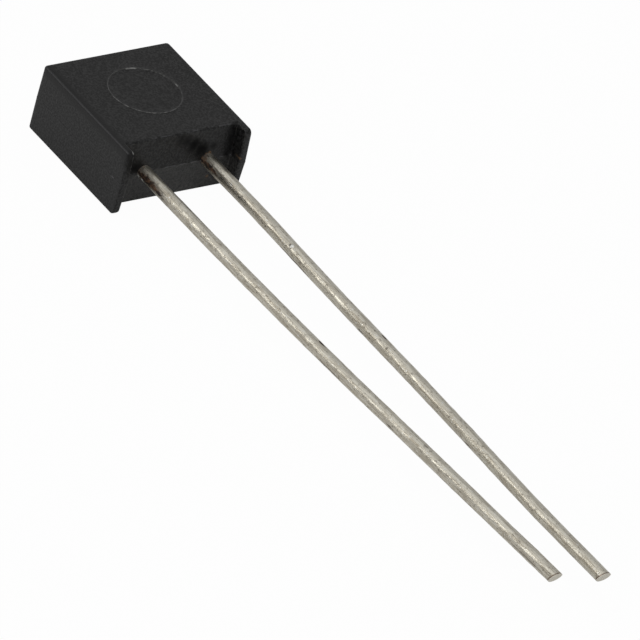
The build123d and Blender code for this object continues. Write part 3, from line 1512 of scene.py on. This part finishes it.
@dataclass(frozen=True)
class SealedElement:
    """The coated element inside the moulding. Its pieces are the CAD nodes, with finishes."""

    corner_radius: float = 0.3
    corner_steps: int = 6
    finishes: tuple[tuple[str, PlainStuff], ...] = (
        ("cushion_coat", SOFT_COAT),
        ("ceramic_plate", ALUMINA),
        ("foil_cement", CEMENT),
        ("resistance_foil", FOIL_ALLOY),
        ("terminal_ribbon_left", RIBBON_METAL),
        ("terminal_ribbon_right", RIBBON_METAL),
    )

    def hollow(self) -> bpy.types.Object:
        """The hollow that the coat fills, a block with rounded upright corners.

        Returns:
            The closed shape.
        """
        low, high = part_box("cushion_coat")
        half_height = 0.5 * (high - low).z
        work = bmesh.new()
        bmesh.ops.create_cube(work, size=1.0)
        bmesh.ops.scale(work, vec=high - low, verts=work.verts)
        bmesh.ops.translate(work, vec=(low + high) / 2, verts=work.verts)
        upright = [edge for edge in work.edges if abs((edge.verts[0].co - edge.verts[1].co).z) > half_height]
        rounding = {"offset": self.corner_radius * MM, "segments": self.corner_steps, "profile": 0.5}
        bmesh.ops.bevel(work, geom=upright, affect="EDGES", **rounding)
        mesh = bpy.data.meshes.new("coat_hollow")
        work.to_mesh(mesh)
        work.free()
        return in_scene("coat_hollow", mesh)

    def dress_nodes(self) -> list[bpy.types.Object]:
        """Gives each inner piece its finish.

        Returns:
            The pieces.
        """
        pieces = []
        for node, finish in self.finishes:
            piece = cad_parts[node]
            dress(piece, finish.material())
            pieces.append(piece)
        return pieces


# ---------------------------------------------------------------- studio


@dataclass(frozen=True)
class Lamp:
    """One soft square lamp, aimed at the part."""

    name: str
    azimuth: float
    elevation: float
    distance: float
    size: float
    watts: float
    colour: Triple = (1.0, 1.0, 1.0)


def towards(azimuth: float, elevation: float) -> Vector:
    """The way from the part to a place round it. Azimuth 0 is in front, at -Y."""
    turn, rise = math.radians(azimuth), math.radians(elevation)
    return Vector((math.sin(turn) * math.cos(rise), -math.cos(turn) * math.cos(rise), math.sin(rise)))


@dataclass(frozen=True)
class Studio:
    """A pale table, soft lamps and a long lens.

    The target and the floor's drop are in millimetres, and every other distance is in metres.
    """

    azimuth: float = -42.6072
    elevation: float = 33.3372
    roll: float = 15.5082
    distance: float = 1.04687
    target: Triple = (-0.1659, -16.979, 1.950)
    lens: float = 1170.73
    clip: tuple[float, float] = (0.05, 50.0)
    floor_drop: float = 0.02
    floor_size: float = 6.0
    floor_colour: Triple = (0.82, 0.82, 0.82)
    glow_colour: Triple = (1.0, 1.0, 1.0)
    table_glow: float = 0.97
    world_level: float = 0.52
    lamps: tuple[Lamp, ...] = (
        Lamp("key", -131.0, 26.0, 0.6, 0.16, 0.16, (1.0, 0.985, 0.95)),
        Lamp("broad", -155.0, 46.0, 0.6, 0.6, 0.24, (1.0, 0.99, 0.97)),
        Lamp("fill", -60.0, 60.0, 0.7, 0.7, 1.9),
    )

    def camera(self) -> None:
        """Adds the camera."""
        data = bpy.data.cameras.new("long_lens")
        data.lens = self.lens
        data.clip_start, data.clip_end = self.clip
        camera = in_scene("long_lens", data)
        back = towards(self.azimuth, self.elevation)
        upright = (-back).to_track_quat("-Z", "Y").to_matrix().to_4x4()
        rolled = upright @ Matrix.Rotation(math.radians(self.roll), 4, "Z")
        camera.matrix_world = Matrix.Translation(Vector(self.target) * MM + back * self.distance) @ rolled
        bpy.context.scene.camera = camera

    def light(self) -> None:
        """Adds the lamps and a plain sky, which the camera sees as white."""
        for lamp in self.lamps:
            data = bpy.data.lights.new(lamp.name, "AREA")
            data.shape = "SQUARE"
            data.size = lamp.size
            data.energy = lamp.watts
            data.color = lamp.colour
            holder = in_scene(lamp.name, data)
            back = towards(lamp.azimuth, lamp.elevation)
            holder.location = Vector(self.target) * MM + back * lamp.distance
            holder.rotation_mode = "QUATERNION"
            holder.rotation_quaternion = (-back).to_track_quat("-Z", "Y")
        world = bpy.data.worlds.new("studio")
        bpy.context.scene.world = world
        sheet = NodeSheet(world)
        seen = sheet.node("ShaderNodeLightPath", output="Is Camera Ray")
        level = seen * (1.0 - self.world_level) + self.world_level
        sky = sheet.node("ShaderNodeBackground", inputs={"Strength": level})
        sheet.node("ShaderNodeOutputWorld", inputs={0: sky})

    def table(self) -> None:
        """Adds the pale table that the part lies on, which the camera sees as nearly white."""
        skin = Skin()
        half = self.floor_size / MM / 2
        corners = [(-half, -half), (half, -half), (half, half), (-half, half)]
        skin.faces.append(tuple(skin.ring([(x, y, -self.floor_drop) for x, y in corners])))
        table = skin.build("pale_table")
        sheet = NodeSheet.for_material("pale_table")
        paper = sheet.node("ShaderNodeBsdfDiffuse", inputs={"Color": self.floor_colour})
        glow = sheet.node("ShaderNodeEmission", inputs={"Color": self.glow_colour, "Strength": 1.0})
        seen = sheet.node("ShaderNodeLightPath", output="Is Camera Ray")
        both = sheet.node("ShaderNodeMixShader", inputs={0: seen * self.table_glow, 1: paper, 2: glow})
        sheet.node("ShaderNodeOutputMaterial", inputs={0: both})
        dress(table, sheet.owner)

    def set_up(self) -> None:
        """Adds everything and sets the plain colour transform."""
        self.camera()
        self.light()
        self.table()
        bpy.context.scene.view_settings.view_transform = "Standard"


# ---------------------------------------------------------------- assembly


def main() -> None:
    """Builds the studio, the moulding, the leads and the sealed element, and reports each piece."""
    Studio().set_up()
    case = MouldedCase.from_frame()
    left, right = lead_pair(case)
    element = SealedElement()
    moulding = case.add([element.hollow(), left.build(WireForm.BORE), right.build(WireForm.BORE)])
    for piece in (moulding, left.add(), right.add(), *element.dress_nodes()):
        log.info("%s: %d faces", piece.name, len(piece.data.polygons))


if __name__ == "__main__":
    logging.basicConfig(level=logging.INFO, format="%(name)s: %(message)s")
    main()
